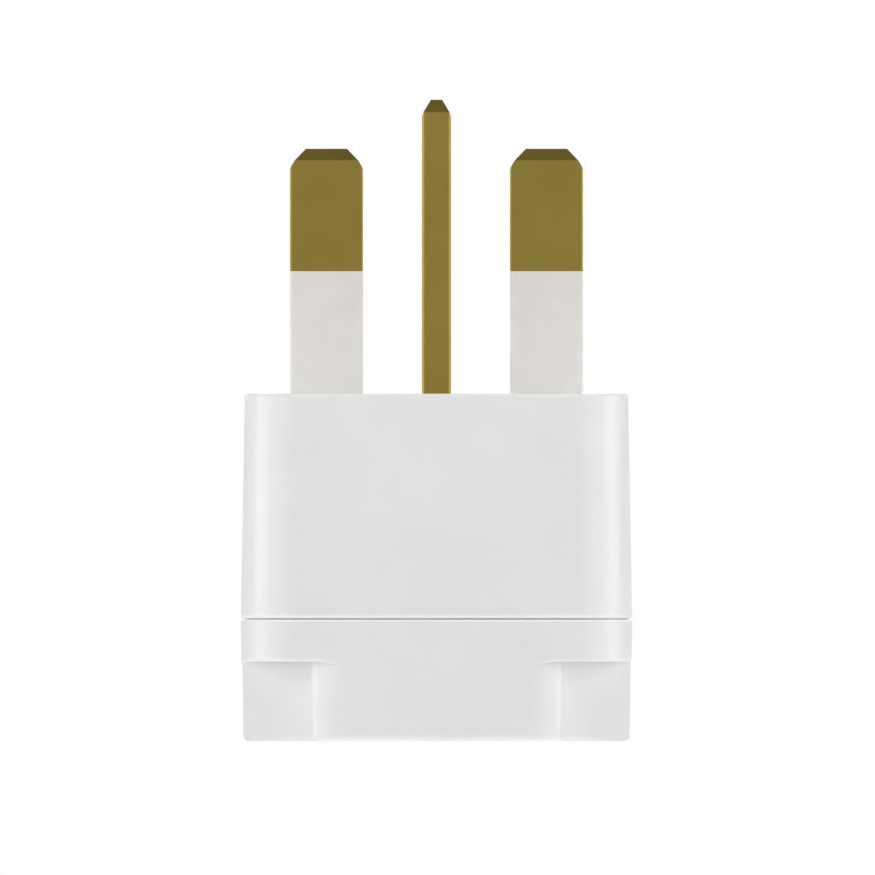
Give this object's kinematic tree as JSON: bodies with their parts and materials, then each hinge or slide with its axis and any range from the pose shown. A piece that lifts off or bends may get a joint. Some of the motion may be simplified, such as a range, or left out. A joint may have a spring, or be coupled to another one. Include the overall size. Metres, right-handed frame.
{
  "type": "grounding plug adapter",
  "caption": "White moulded grounding plug adapter with part-sleeved flat brass pins, a longer earth pin, corner finger grips and a grounded socket face underneath.",
  "frame": {"origin": "centre of the socket face, on the plane the adapter rests on", "axes": "+Z from the socket face towards the pin tips, +X from the neutral pin to the line pin, -Y towards the earth pin"},
  "size_m": [0.0394, 0.045, 0.0647],
  "materials": {
    "housing": "gloss moulded",
    "sleeve": "satin moulded",
    "pin_brass": "satin",
    "spring_brass": "rolled strip",
    "screw_steel": "zinc plated"
  },
  "bodies": {
    "root": {"plug_housing": "housing", "socket_housing": "housing", "line_pin": "pin_brass", "neutral_pin": "pin_brass", "earth_pin": "pin_brass", "line_pin_sleeve": "sleeve", "neutral_pin_sleeve": "sleeve", "line_contact": "spring_brass", "neutral_contact": "spring_brass", "earth_contact": "spring_brass", "line_contact_screw": "screw_steel", "neutral_contact_screw": "screw_steel", "earth_contact_screw": "screw_steel", "housing_screw_1": "screw_steel", "housing_screw_2": "screw_steel", "housing_screw_3": "screw_steel"}
  },
  "joints": []
}
